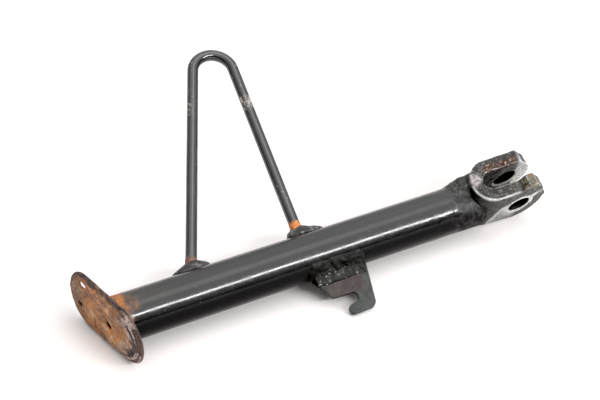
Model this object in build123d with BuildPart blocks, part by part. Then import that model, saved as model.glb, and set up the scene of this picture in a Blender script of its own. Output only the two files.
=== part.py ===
from build123d import *
from math import cos, isclose, radians, sin, tan
import os

# Side stand (kickstand) leg of a motorcycle, lying as it rests on a bench.
# Origin: middle of the pivot axis, between the two ears of the clevis.
# +X runs along the leg from the foot towards the pivot, +Z is up off the bench.

os.makedirs("parts", exist_ok=True)

# ---------------------------------------------------------------- driving dimensions, mm and degrees
tube_diameter = 34.0
tube_wall = 3.5
leg_drop = 5.0            # tube axis below the pivot axis
stand_reach = 319.1       # pivot axis to the middle of the sole, along the leg

pivot_roll = 26.5         # pivot axis and step loop turned up from +Y about the leg
bore_diameter = 16.8
bore_chamfer = 1.3
ear_thickness = 10.0
slot_width = 13.0
bend_centre = -22.0       # x of the centre of the clevis bend
fork_above = 21.0         # top edge of the clevis over the pivot axis
fork_below = 18.0         # bottom edge of the clevis under the pivot axis
far_ear_radius = 20.0
far_ear_heel = 22.0       # top edge of the far ear at the bend
far_ear_top = 23.2        # and where it starts to fall
far_shoulder = 5.5
far_round_end = 52.0      # where the far ear's round end meets that slope
near_ear_radius = 20.0
near_lug_top = 28.0       # stop lug on the near ear
near_lug_outline = [(20.0, 3.0), (20.6, 6.0), (14.5, 18.5), (6.5, near_lug_top),
                    (0.5, near_lug_top), (-3.5, fork_above)]

foot_length = 86.6
foot_width = 44.6
foot_depth = 4.0
foot_sheet = 2.0
foot_toe_in = 12.0        # sole turned about the vertical
foot_side_shift = 4.6
foot_rise = 1.1           # middle of the foot over the tube axis
foot_edge_radius = 3.0
# each drain hole: centre, length, width
drain_holes = [((-6.4, 1.8), 6.0, 4.6), ((23.6, -14.0), 6.8, 3.8)]
punch_mark_centre = (29.1, 5.6)
punch_mark_size = (4.4, 3.4)
punch_mark_depth = 1.3

rod_diameter = 8.0
rear_leg_x = -256.5
rear_leg_lean = 23.3
front_leg_x = -167.0
front_leg_lean = -4.5
loop_bend_radius = 15.4
pad_root_depth = 5.0      # the pad blanks start this far inside the tube surface
pad_root_length = 40.0
pad_root_width = 16.0
pad_top_length = 10.5
pad_top_width = 9.0
pad_height = 7.0
pad_root_shifts = {"step_weld_rear": 0.0, "step_weld_front": 9.0}

hook_roll = 20.5          # hook plate turned down from -Y about the leg
hook_thickness = 3.2
hook_corners = [(-175.0, 13.0), (-165.0, 36.6), (-147.0, 37.4), (-148.2, 44.4),
                (-158.2, 46.4), (-158.2, 53.4), (-138.4, 52.6), (-128.6, 13.0)]
hook_corner_radii = [None, 2.0, 2.4, 2.8, 3.2, 3.4, 5.5, None]
hook_bead_reach = 26.5
hook_bead_side = 5.4
hook_bead_toe = 1.8
hook_bead_starts = {"hook_weld_upper": -174.5, "hook_weld_lower": -170.5}
hook_bead_end = -129.5

fork_collar_start = -51.5
fork_collar_knee = -43.0
fork_collar_knee_height = 1.2
fork_collar_full = -33.5
fork_collar_height = 6.0
fork_collar_end = -30.0
fork_collar_side = 17.0   # weld dressed flush with the clevis beyond these
fork_collar_top = 20.0
fork_collar_bottom = -12.5
foot_bead_length = 3.0
foot_bead_height = 1.6

# ---------------------------------------------------------------- frames worked out from them
tube_radius = tube_diameter / 2
fork_half_width = slot_width / 2 + ear_thickness
along = Vector(1, 0, 0)
leg_origin = Vector(0, 0, -leg_drop)
pivot_axis = Vector(0, cos(radians(pivot_roll)), sin(radians(pivot_roll)))
fork_up = Vector(0, -sin(radians(pivot_roll)), cos(radians(pivot_roll)))

leg_section = Plane(origin=leg_origin, x_dir=(0, 1, 0), z_dir=along)
fork_plan = Plane(origin=(0, 0, 0), x_dir=along, z_dir=fork_up)
fork_side = Plane(origin=(0, 0, 0), x_dir=along, z_dir=-pivot_axis)
loop_plane = Plane(origin=leg_origin, x_dir=along, z_dir=fork_up)
hook_plane = Plane(origin=leg_origin, x_dir=along,
                   z_dir=(0, sin(radians(hook_roll)), -cos(radians(hook_roll))))

sole_normal = Vector(-cos(radians(foot_toe_in)), -sin(radians(foot_toe_in)), 0)
sole_length_dir = Vector(-sin(radians(foot_toe_in)), cos(radians(foot_toe_in)), 0)
foot_centre = Vector(-stand_reach, foot_side_shift, foot_rise - leg_drop)
sole_plane = Plane(origin=foot_centre, x_dir=sole_length_dir, z_dir=sole_normal)
pan_floor = sole_plane.offset(-foot_sheet)
pan_rim = sole_plane.offset(-foot_depth)

# ---------------------------------------------------------------- clevis: thick plate bent to a U
with BuildPart() as ear_profiles:
    with BuildSketch(fork_side) as near_profile:
        with BuildLine():
            near_low = (0, -near_ear_radius)
            outline_end = bend_centre - fork_half_width
            Line((outline_end, -fork_below), near_low)
            RadiusArc(near_low, near_lug_outline[0], -near_ear_radius)
            Polyline(*near_lug_outline, (outline_end, fork_above), (outline_end, -fork_below))
        make_face()
    extrude(amount=fork_half_width)
    with BuildSketch(fork_side) as far_profile:
        with BuildLine():
            far_low = (0, -far_ear_radius)
            far_high = (far_ear_radius * cos(radians(far_round_end)),
                        far_ear_radius * sin(radians(far_round_end)))
            Line((outline_end, -fork_below), far_low)
            RadiusArc(far_low, far_high, -far_ear_radius)
            Polyline(far_high, (far_shoulder, far_ear_top), (outline_end, far_ear_heel),
                     (outline_end, -fork_below))
        make_face()
    extrude(amount=-fork_half_width)

with BuildPart() as clevis:
    ear_blank_length = 2 * near_ear_radius - bend_centre
    with BuildSketch(fork_plan.offset(-near_ear_radius)) as u_section:
        with Locations((bend_centre, 0)):
            Circle(fork_half_width)
            Rectangle(ear_blank_length, 2 * fork_half_width, align=(Align.MIN, Align.CENTER))
            Circle(slot_width / 2, mode=Mode.SUBTRACT)
            Rectangle(ear_blank_length, slot_width, align=(Align.MIN, Align.CENTER),
                      mode=Mode.SUBTRACT)
    extrude(amount=near_ear_radius + near_lug_top)
    add(ear_profiles.part, mode=Mode.INTERSECT)
    with BuildSketch(fork_side) as bore_section:
        Circle(bore_diameter / 2)
    extrude(amount=fork_half_width, both=True, mode=Mode.SUBTRACT)
    bore_edges = clevis.edges().filter_by(GeomType.CIRCLE)
    bore_edges = bore_edges.filter_by(lambda edge: isclose(2 * edge.radius, bore_diameter))
    bore_edges = bore_edges.sort_by(Axis((0, 0, 0), pivot_axis))
    chamfer(bore_edges[2], length=bore_chamfer)   # mouth of the far ear, on the slot side

clevis.part.label = "clevis"
export_step(clevis.part, "parts/clevis.step")

# ---------------------------------------------------------------- foot: oval pressed pan, open to the tube
with BuildPart() as foot_plate:
    with BuildSketch(pan_rim):
        SlotOverall(foot_length, foot_width)
    extrude(amount=foot_depth)
    sole_face = foot_plate.faces().sort_by(Axis((0, 0, 0), sole_normal))[-1]
    fillet(sole_face.edges(), radius=foot_edge_radius)
    with BuildSketch(pan_rim):
        SlotOverall(foot_length - 2 * foot_sheet, foot_width - 2 * foot_sheet)
    extrude(amount=foot_depth - foot_sheet, mode=Mode.SUBTRACT)
    with BuildSketch(pan_rim):
        for place, hole_length, hole_width in drain_holes:
            with Locations(place):
                SlotOverall(hole_length, hole_width)
    extrude(amount=foot_depth, mode=Mode.SUBTRACT)
    with BuildSketch(sole_plane):
        with Locations(punch_mark_centre):
            SlotOverall(*punch_mark_size)
    extrude(amount=-punch_mark_depth, mode=Mode.SUBTRACT)

foot_plate.part.label = "foot_plate"
export_step(foot_plate.part, "parts/foot_plate.step")

# ---------------------------------------------------------------- leg tube, coped to the clevis bend
with BuildPart() as bend_envelope:
    with BuildSketch(fork_plan):
        with Locations((bend_centre, 0)):
            Circle(fork_half_width)
    extrude(amount=2 * tube_diameter, both=True)

with BuildPart() as leg_envelope:
    with BuildSketch(leg_section.offset(-stand_reach - foot_width)):
        Circle(tube_radius)
    extrude(amount=stand_reach + foot_width + fork_collar_end)
    split(bisect_by=pan_floor, keep=Keep.BOTTOM)
    add(bend_envelope.part, mode=Mode.SUBTRACT)

with BuildPart() as leg_tube:
    add(leg_envelope.part)
    with BuildSketch(leg_section.offset(-stand_reach - foot_width)):
        Circle(tube_radius - tube_wall)
    extrude(amount=stand_reach + foot_width, mode=Mode.SUBTRACT)

leg_tube.part.label = "leg_tube"
export_step(leg_tube.part, "parts/leg_tube.step")

# ---------------------------------------------------------------- weld beads round the two tube ends
with BuildPart() as collar_limits:
    with BuildSketch(fork_plan.offset(fork_collar_bottom)):
        with Locations((fork_collar_end, 0)):
            Rectangle(fork_collar_end - fork_collar_start, 2 * fork_collar_side,
                      align=(Align.MAX, Align.CENTER))
    extrude(amount=fork_collar_top - fork_collar_bottom)

with BuildPart() as clevis_weld:
    with BuildSketch(Plane.XZ):
        with BuildLine():
            collar_root = tube_radius - tube_wall - leg_drop
            collar_skin = tube_radius - leg_drop
            collar_crest = collar_skin + fork_collar_height
            Polyline((fork_collar_start, collar_root), (fork_collar_start, collar_skin),
                     (fork_collar_knee, collar_skin + fork_collar_knee_height),
                     (fork_collar_full, collar_crest), (fork_collar_end, collar_crest),
                     (fork_collar_end, collar_root), close=True)
        make_face()
    revolve(axis=Axis(leg_origin, along))
    add(collar_limits.part, mode=Mode.INTERSECT)
    add(leg_envelope.part, mode=Mode.SUBTRACT)
    add(bend_envelope.part, mode=Mode.SUBTRACT)

clevis_weld.part.label = "clevis_weld"
export_step(clevis_weld.part, "parts/clevis_weld.step")

with BuildPart() as foot_weld:
    with BuildSketch(leg_section.offset(-stand_reach - foot_width)):
        Circle(tube_radius + foot_bead_height)
        Circle(tube_radius, mode=Mode.SUBTRACT)
    extrude(amount=2 * foot_width)
    split(bisect_by=pan_floor, keep=Keep.BOTTOM)
    split(bisect_by=pan_rim.offset(-foot_bead_length), keep=Keep.TOP)
    add(foot_plate.part, mode=Mode.SUBTRACT)

foot_weld.part.label = "foot_weld"
export_step(foot_weld.part, "parts/foot_weld.step")

# ---------------------------------------------------------------- step loop: bent rod, coped to the tube
rear_slope = tan(radians(rear_leg_lean))
front_slope = tan(radians(front_leg_lean))
apex_height = (front_leg_x - rear_leg_x) / (rear_slope + front_slope)
apex = (rear_leg_x + apex_height * rear_slope, apex_height)

with BuildPart() as solid_leg:
    with BuildSketch(leg_section.offset(-stand_reach)):
        Circle(tube_radius)
    extrude(amount=stand_reach)

with BuildPart() as rod_blank:
    with BuildLine(loop_plane) as loop_path:
        FilletPolyline((rear_leg_x, 0), apex, (front_leg_x, 0), radius=loop_bend_radius)
    with BuildSketch(Plane(origin=loop_path.line @ 0, z_dir=loop_path.line % 0)):
        Circle(rod_diameter / 2)
    sweep()

with BuildPart() as step_loop:
    add(rod_blank.part)
    add(solid_leg.part, mode=Mode.SUBTRACT)

step_loop.part.label = "step_loop"
export_step(step_loop.part, "parts/step_loop.step")

for pad_name, base_x, slope in [("step_weld_rear", rear_leg_x, rear_slope),
                                ("step_weld_front", front_leg_x, -front_slope)]:
    pad_root = (tube_radius - pad_root_depth, pad_root_length, pad_root_width,
                pad_root_shifts[pad_name])
    pad_top = (tube_radius + pad_height, pad_top_length, pad_top_width, 0.0)
    with BuildPart() as pad:
        for height, length, width, shift in [pad_root, pad_top]:
            pad_x = base_x + slope * height + shift
            pad_origin = leg_origin + pivot_axis * height + along * pad_x
            with BuildSketch(Plane(origin=pad_origin, x_dir=along, z_dir=pivot_axis)):
                Ellipse(length / 2, width / 2)
        loft()
        add(solid_leg.part, mode=Mode.SUBTRACT)
        add(rod_blank.part, mode=Mode.SUBTRACT)
    pad.part.label = pad_name
    export_step(pad.part, f"parts/{pad_name}.step")

# ---------------------------------------------------------------- spring hook plate and its two beads
with BuildPart() as hook_blank:
    with BuildSketch(hook_plane) as hook_outline:
        with BuildLine():
            Polyline(*hook_corners, close=True)
        make_face()
        for corner, radius in zip(hook_corners, hook_corner_radii):
            if radius:
                fillet(hook_outline.vertices().sort_by_distance(corner)[0], radius)
    extrude(amount=hook_thickness / 2, both=True)

with BuildPart() as spring_hook:
    add(hook_blank.part)
    add(solid_leg.part, mode=Mode.SUBTRACT)

spring_hook.part.label = "spring_hook"
export_step(spring_hook.part, "parts/spring_hook.step")

for bead_name, side in [("hook_weld_upper", -1), ("hook_weld_lower", 1)]:
    with BuildPart() as bead:
        bead_start = hook_bead_starts[bead_name]
        bead_plane = Plane(origin=leg_origin + along * bead_start,
                           x_dir=hook_plane.y_dir, z_dir=along)
        with BuildSketch(bead_plane):
            with BuildLine():
                plate_face = side * hook_thickness / 2
                toe_face = plate_face + side * hook_bead_toe
                back_face = plate_face + side * hook_bead_side
                Polyline((tube_radius - hook_bead_side, plate_face), (hook_bead_reach, plate_face),
                         (hook_bead_reach - hook_bead_toe, toe_face), (tube_radius, back_face),
                         (tube_radius - hook_bead_side, back_face), close=True)
            make_face()
        extrude(amount=hook_bead_end - bead_start)
        add(solid_leg.part, mode=Mode.SUBTRACT)
    bead.part.label = bead_name
    export_step(bead.part, f"parts/{bead_name}.step")
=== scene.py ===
from itertools import product
from math import atan2, cos, pi, radians, sin, tan

import bmesh
import bpy
import numpy as np
from mathutils import Matrix, Vector


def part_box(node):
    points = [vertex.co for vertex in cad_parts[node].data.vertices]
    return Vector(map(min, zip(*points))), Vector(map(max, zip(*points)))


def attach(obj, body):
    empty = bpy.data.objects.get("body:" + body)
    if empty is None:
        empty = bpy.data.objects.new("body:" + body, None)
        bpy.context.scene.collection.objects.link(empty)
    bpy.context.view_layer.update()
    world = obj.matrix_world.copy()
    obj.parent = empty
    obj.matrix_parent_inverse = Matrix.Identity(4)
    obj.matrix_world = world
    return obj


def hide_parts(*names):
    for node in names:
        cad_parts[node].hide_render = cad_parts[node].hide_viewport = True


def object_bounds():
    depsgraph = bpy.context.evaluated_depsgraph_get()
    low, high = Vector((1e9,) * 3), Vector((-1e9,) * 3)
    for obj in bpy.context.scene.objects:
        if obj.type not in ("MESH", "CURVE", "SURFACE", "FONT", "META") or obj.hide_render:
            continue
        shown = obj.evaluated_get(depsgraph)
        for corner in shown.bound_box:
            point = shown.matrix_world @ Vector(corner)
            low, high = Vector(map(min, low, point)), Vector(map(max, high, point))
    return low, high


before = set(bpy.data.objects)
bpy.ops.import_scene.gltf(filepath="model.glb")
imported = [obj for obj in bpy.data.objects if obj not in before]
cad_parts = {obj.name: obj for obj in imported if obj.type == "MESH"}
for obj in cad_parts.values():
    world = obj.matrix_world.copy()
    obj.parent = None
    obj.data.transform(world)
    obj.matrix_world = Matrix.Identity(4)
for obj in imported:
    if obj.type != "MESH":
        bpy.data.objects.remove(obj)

# Motorcycle side stand, lying on a pale table. The CAD pieces are replaced by worked meshes:
# a painted tube and step loop, lumpy welds, a worn clevis, a rusted foot and a cut hook plate.
# Lengths in this script are millimetres until a mesh is written, in metres, in the row frame.

MM = 0.001
cad_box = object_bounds()
scene = bpy.context.scene

# ---------------------------------------------------------------- the frame's dimensions, millimetres
TUBE_R = 17.0
TUBE_BORE_R = 13.5
LEG_DROP = 5.0            # tube axis below the pivot axis
PIVOT_ROLL = radians(26.5)      # turns about the leg, up from +Y
HOOK_ROLL = radians(20.5)
TOE_IN = radians(12.0)
BORE_R = 8.4              # the pivot bore
SLOT_HALF = 6.5           # half the slot between the clevis ears
FORK_HALF = 16.5          # half the clevis's width
BEND_X = -22.0            # centre of the clevis bend
FORK_TOP = 21.0
COLLAR_END = -30.0
COLLAR_OVERLAP = 0.4      # how far the tube runs into the clevis
LOOP_ROOT = 1.8           # how far the rod and the welds reach into the tube's wall
BEAD_ROOT = 1.8
HEAP_ROOT = 1.6
UPPER_BEAD_START = -175.5       # weld runs along the hook plate
LOWER_BEAD_START = -171.0
BEAD_END = -128.8
BEAD_TURN = (0.0, 4.0, 8.0, 14.0, 23.0, 36.0, 54.0)      # degrees round the tube from the plate
BEAD_HEIGHT = (9.6, 9.0, 6.6, 3.5, 1.6, 0.8, -0.8)       # over the tube, at those turns
HEAP_START = -52.0        # weld heap on the tube, behind the clevis
HEAP_ALONG = (HEAP_START, -47.3, -43.2, -40.9, -36.9, -32.7, -27.0)
HEAP_HEIGHT = (0.0, 1.2, 2.3, 3.4, 4.9, 5.6, 6.6)        # over the tube, at those places
FOOT_CENTRE = np.array([-319.1, 4.6, 1.1 - LEG_DROP])
FOOT_LENGTH = 86.6
FOOT_WIDTH = 44.6
FOOT_SHEET = 2.0
PUNCH_MARK = (29.1, -5.6)       # blind mark on the sole, and its half sizes
PUNCH_MARK_HALF = (2.9, 2.3)
ROD_R = 4.0               # the step loop: rod, where its legs meet the tube's axis, and their lean
REAR_X = -256.5
REAR_LEAN = radians(23.3)
FRONT_X = -167.0
FRONT_LEAN = radians(-4.5)
LOOP_BEND_R = 15.4
ROD_PAINT = 0.14          # thickness of the paint on the rod
ROD_SHADED_SIDE = np.array([0.89, -0.45, 0.0])      # the side of the rod given painted shade, where its reflection is dulled
PAINT_LINE_X = -18.4      # where the worn metal of the clevis starts, at the pivot's height
PAINT_LINE_LEAN = 0.345
TORN_PAINT_X = -50.0      # middle of the ragged end of the tube's gloss paint
RUST_REACH = 25.0         # solid rust on the tube, measured from the foot
STAIN_REACH = 58.0

# How fine the meshes are: voxels for the remeshed pieces, and points round and along the others.
VOXEL = {"clevis": 0.43, "foot_plate": 0.45, "foot_weld": 0.40, "spring_hook": 0.30,
         "step_weld_rear": 0.36, "step_weld_front": 0.36}
TUBE_AROUND, TUBE_ALONG, BORE_SKIP = 256, 200, 8
ROD_AROUND, ROD_LEG, ROD_BEND = 56, 110, 56
BEAD_AROUND, BEAD_ALONG = 80, 130
HEAP_AROUND, HEAP_STATIONS = 150, 90

X_AXIS = np.array([1.0, 0.0, 0.0])
PIVOT_AXIS = np.array([0.0, cos(PIVOT_ROLL), sin(PIVOT_ROLL)])
FORK_UP = np.array([0.0, -sin(PIVOT_ROLL), cos(PIVOT_ROLL)])
HOOK_OUT = np.array([0.0, -cos(HOOK_ROLL), -sin(HOOK_ROLL)])
HOOK_NORMAL = np.array([0.0, -sin(HOOK_ROLL), cos(HOOK_ROLL)])
LEG_ORIGIN = np.array([0.0, 0.0, -LEG_DROP])
SOLE_NORMAL = np.array([-cos(TOE_IN), -sin(TOE_IN), 0.0])
SOLE_LENGTH = np.array([-sin(TOE_IN), cos(TOE_IN), 0.0])


# ---------------------------------------------------------------- numbers on arrays of points
def corner_value(cell, seed):
    """A repeatable value from -1 to 1 for each whole-number grid corner."""
    h = cell[:, 0] * 374761393 + cell[:, 1] * 668265263 + cell[:, 2] * 974711 + seed * 69069
    h = (h ^ (h >> 13)) & 0xFFFFFFFF
    h = (h * 1274126177) & 0xFFFFFFFF
    h = (h ^ (h >> 16)) & 0xFFFFFF
    return h / float(0xFFFFFF) * 2.0 - 1.0


def noise(points, size, seed=0, octaves=1):
    """Smooth noise, about -1 to 1, with lumps of the given size and finer ones over them."""
    total = np.zeros(len(points))
    gain = 1.0
    for octave in range(octaves):
        q = points / size
        cell = np.floor(q).astype(np.int64)
        f = q - cell
        f = f * f * f * (f * (f * 6.0 - 15.0) + 10.0)
        for step in product((0, 1), repeat=3):
            share = np.ones(len(points))
            for k in range(3):
                share = share * (f[:, k] if step[k] else 1.0 - f[:, k])
            total += gain * share * corner_value(cell + np.array(step), seed + octave)
        size = size * 0.5
        gain *= 0.5
    return total


def ease(value, low, high):
    """0 at low, 1 at high, smooth between; low may be the larger one."""
    t = np.clip((value - low) / (high - low), 0.0, 1.0)
    return t * t * (3.0 - 2.0 * t)


class Skin:
    """A mesh held as arrays, in millimetres, while its surface is worked."""

    def __init__(self, mesh):
        self.mesh = mesh
        self.co = np.empty(len(mesh.vertices) * 3)
        mesh.vertices.foreach_get("co", self.co)
        self.co = self.co.reshape(-1, 3) / MM
        pairs = np.empty(len(mesh.edges) * 2, dtype=np.int32)
        mesh.edges.foreach_get("vertices", pairs)
        self.pairs = pairs.reshape(-1, 2)
        self.degree = np.bincount(pairs, minlength=len(self.co)).astype(float)

    def around(self, values):
        """The mean of each vertex's neighbours."""
        a, b = self.pairs[:, 0], self.pairs[:, 1]
        n = len(self.co)
        if values.ndim == 1:
            total = np.bincount(a, values[b], n) + np.bincount(b, values[a], n)
            return total / self.degree
        return np.stack([self.around(values[:, k]) for k in range(values.shape[1])], axis=1)

    def blur(self, values, times):
        """Values drawn towards their neighbours' mean, some times over."""
        for _ in range(times):
            values = 0.5 * values + 0.5 * self.around(values)
        return values

    def soften(self, times):
        self.co = self.blur(self.co, times)

    def write(self):
        self.mesh.vertices.foreach_set("co", (self.co * MM).ravel())
        self.mesh.update()

    def normals(self):
        self.write()
        out = np.empty(len(self.co) * 3, dtype=np.float32)
        self.mesh.vertex_normals.foreach_get("vector", out)
        return out.reshape(-1, 3).astype(float)

    def push(self, amount):
        """Moves each vertex out along its normal, in millimetres."""
        self.co = self.co + self.normals() * np.asarray(amount)[:, None]

    def crest(self, times):
        """Above 0 on outside edges, below 0 in inside corners."""
        inward = self.around(self.co) - self.co
        return self.blur(-(inward * self.normals()).sum(1), times)

    def store(self, name, values):
        """Keeps a value at each vertex, for a material to read."""
        layer = self.mesh.attributes.new(name, "FLOAT", "POINT")
        layer.data.foreach_set("value", np.asarray(values, dtype=np.float32))


def finish_piece(skin, name, nodes, material):
    """Keeps the piece inside the CAD box, writes it, and hangs it on the leg."""
    low, high = (np.array(corner) / MM for corner in cad_box)
    skin.co = np.clip(skin.co, low, high)
    skin.write()
    mesh = skin.mesh
    mesh.polygons.foreach_set("use_smooth", np.ones(len(mesh.polygons), dtype=bool))
    mesh.materials.clear()
    mesh.materials.append(material)
    obj = bpy.data.objects.new(name, mesh)
    scene.collection.objects.link(obj)
    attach(obj, "root")
    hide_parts(*nodes)
    return obj


def remeshed(node):
    """A dense, even copy of a CAD node's mesh."""
    source = bpy.data.objects.new("blank_" + node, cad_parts[node].data.copy())
    scene.collection.objects.link(source)
    weld = source.modifiers.new("weld", "WELD")
    weld.merge_threshold = 0.002 * MM
    remesh = source.modifiers.new("remesh", "REMESH")
    remesh.mode = "VOXEL"
    remesh.voxel_size = VOXEL[node] * MM
    remesh.adaptivity = 0.0
    graph = bpy.context.evaluated_depsgraph_get()
    mesh = bpy.data.meshes.new_from_object(source.evaluated_get(graph))
    bpy.data.objects.remove(source)
    return Skin(mesh)


def grid_skin(name, rings, closed_along):
    """A closed quad mesh from rings[station, around, xyz]; the ends are capped if not joined."""
    stations, around = rings.shape[:2]
    row = np.arange(stations if closed_along else stations - 1)[:, None]
    col = np.arange(around)[None, :]
    above = (row + 1) % stations
    beside = (col + 1) % around
    quads = np.stack([row * around + col, row * around + beside,
                      above * around + beside, above * around + col], axis=-1).reshape(-1, 4)
    points = rings.reshape(-1, 3)
    faces = [tuple(q) for q in quads.tolist()]
    if not closed_along:
        faces.append(tuple(range(around - 1, -1, -1)))
        faces.append(tuple(range((stations - 1) * around, stations * around)))
    mesh = bpy.data.meshes.new(name)
    mesh.from_pydata((points * MM).tolist(), [], faces)
    mesh.update()
    solid = bmesh.new()
    solid.from_mesh(mesh)
    if solid.calc_volume(signed=True) < 0.0:
        mesh.flip_normals()
    solid.free()
    return Skin(mesh)


# ---------------------------------------------------------------- materials
class Finish:
    """A node material, built one step at a time; sizes in millimetres."""

    def __init__(self, name):
        self.material = bpy.data.materials.new(name)
        self.material.use_nodes = True
        self.tree = self.material.node_tree
        self.tree.nodes.clear()
        self.place = self.add("TexCoord", out="Object")

    def add(self, kind, inputs=None, out=0, **settings):
        node = self.tree.nodes.new("ShaderNode" + kind)
        for key, value in settings.items():
            setattr(node, key, value)
        for key, value in (inputs or {}).items():
            if isinstance(value, bpy.types.NodeSocket):
                self.tree.links.new(value, node.inputs[key])
            else:
                node.inputs[key].default_value = value
        return node.outputs[out]

    def spot(self, stretch=(1, 1, 1), shift=0.0):
        """The place on the object, stretched, and shifted so that textures differ."""
        return self.add("Mapping", {"Vector": self.place, "Location": (shift, shift, shift),
                                    "Scale": tuple(1 / s for s in stretch)})

    def noise(self, size, detail=3.0, rough=0.55, bend=0.0, stretch=(1, 1, 1), shift=0.0):
        return self.add("TexNoise", {"Vector": self.spot(stretch, shift), "Scale": 1 / (size * MM),
                                     "Detail": detail, "Roughness": rough, "Distortion": bend},
                        out="Fac")

    def cells(self, size, shift=0.0):
        return self.add("TexVoronoi", {"Vector": self.spot(shift=shift), "Scale": 1 / (size * MM)},
                        out="Distance")

    def ease(self, value, low, high, to=(0.0, 1.0)):
        return self.add("MapRange", {"Value": value, "From Min": low, "From Max": high,
                                     "To Min": to[0], "To Max": to[1]},
                        interpolation_type="SMOOTHSTEP")

    def calc(self, operation, a, b, clamp=False):
        return self.add("Math", {0: a, 1: b}, operation=operation, use_clamp=clamp)

    def times(self, a, b):
        return self.calc("MULTIPLY", a, b)

    def plus(self, a, b, clamp=False):
        return self.calc("ADD", a, b, clamp)

    def minus(self, a, b):
        return self.calc("SUBTRACT", a, b)

    def most(self, *values):
        total = values[0]
        for value in values[1:]:
            total = self.calc("MAXIMUM", total, value)
        return total

    def mix(self, share, a, b):
        def ink(c):
            return c if isinstance(c, bpy.types.NodeSocket) else (*c, 1.0)
        return self.add("Mix", {0: share, 6: ink(a), 7: ink(b)}, out=2, data_type="RGBA")

    def ramp(self, value, *stops):
        node = self.tree.nodes.new("ShaderNodeValToRGB")
        bar = node.color_ramp.elements
        while len(bar) < len(stops):
            bar.new(0.5)
        for element, (where, colour) in zip(bar, stops):
            element.position = where
            element.color = (*colour, 1.0)
        self.tree.links.new(value, node.inputs[0])
        return node.outputs[0]

    def layer(self, name):
        return self.add("Attribute", out="Fac", attribute_name=name)

    def axis(self, name):
        """One coordinate of the place, in millimetres."""
        return self.times(self.add("SeparateXYZ", {0: self.place}, out=name), 1 / MM)

    def done(self, colour, roughness, height, depth, metallic=None, specular=0.5, ior=1.5):
        """Links the surface to the output; depth is the height map's depth in millimetres."""
        bump = self.add("Bump", {"Height": height, "Strength": 1.0, "Distance": depth * MM},
                        out="Normal")
        inputs = {"Base Color": colour, "Roughness": roughness, "Normal": bump,
                  "Specular IOR Level": specular, "IOR": ior}
        if metallic is not None:
            inputs["Metallic"] = metallic
        surface = self.add("BsdfPrincipled", inputs, out="BSDF")
        end = self.tree.nodes.new("ShaderNodeOutputMaterial")
        self.tree.links.new(surface, end.inputs["Surface"])
        return self.material


RUST_DARK = (0.055, 0.022, 0.012)
RUST_BROWN = (0.16, 0.070, 0.035)
RUST_ORANGE = (0.48, 0.17, 0.045)
RUST_TAN = (0.50, 0.27, 0.13)


def rust_colour(f, shift):
    """Patches from dark to tan rust, with fine brown over them."""
    patch = f.noise(9, 5, 0.65, 0.6, shift=shift)
    base = f.ramp(patch, (0.30, RUST_DARK), (0.44, RUST_BROWN), (0.56, RUST_ORANGE), (0.70, RUST_TAN))
    fine = f.noise(0.9, 3, 0.6, shift=shift + 3)
    return f.mix(f.ease(fine, 0.42, 0.62, (0.0, 0.55)), base, RUST_BROWN)


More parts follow.
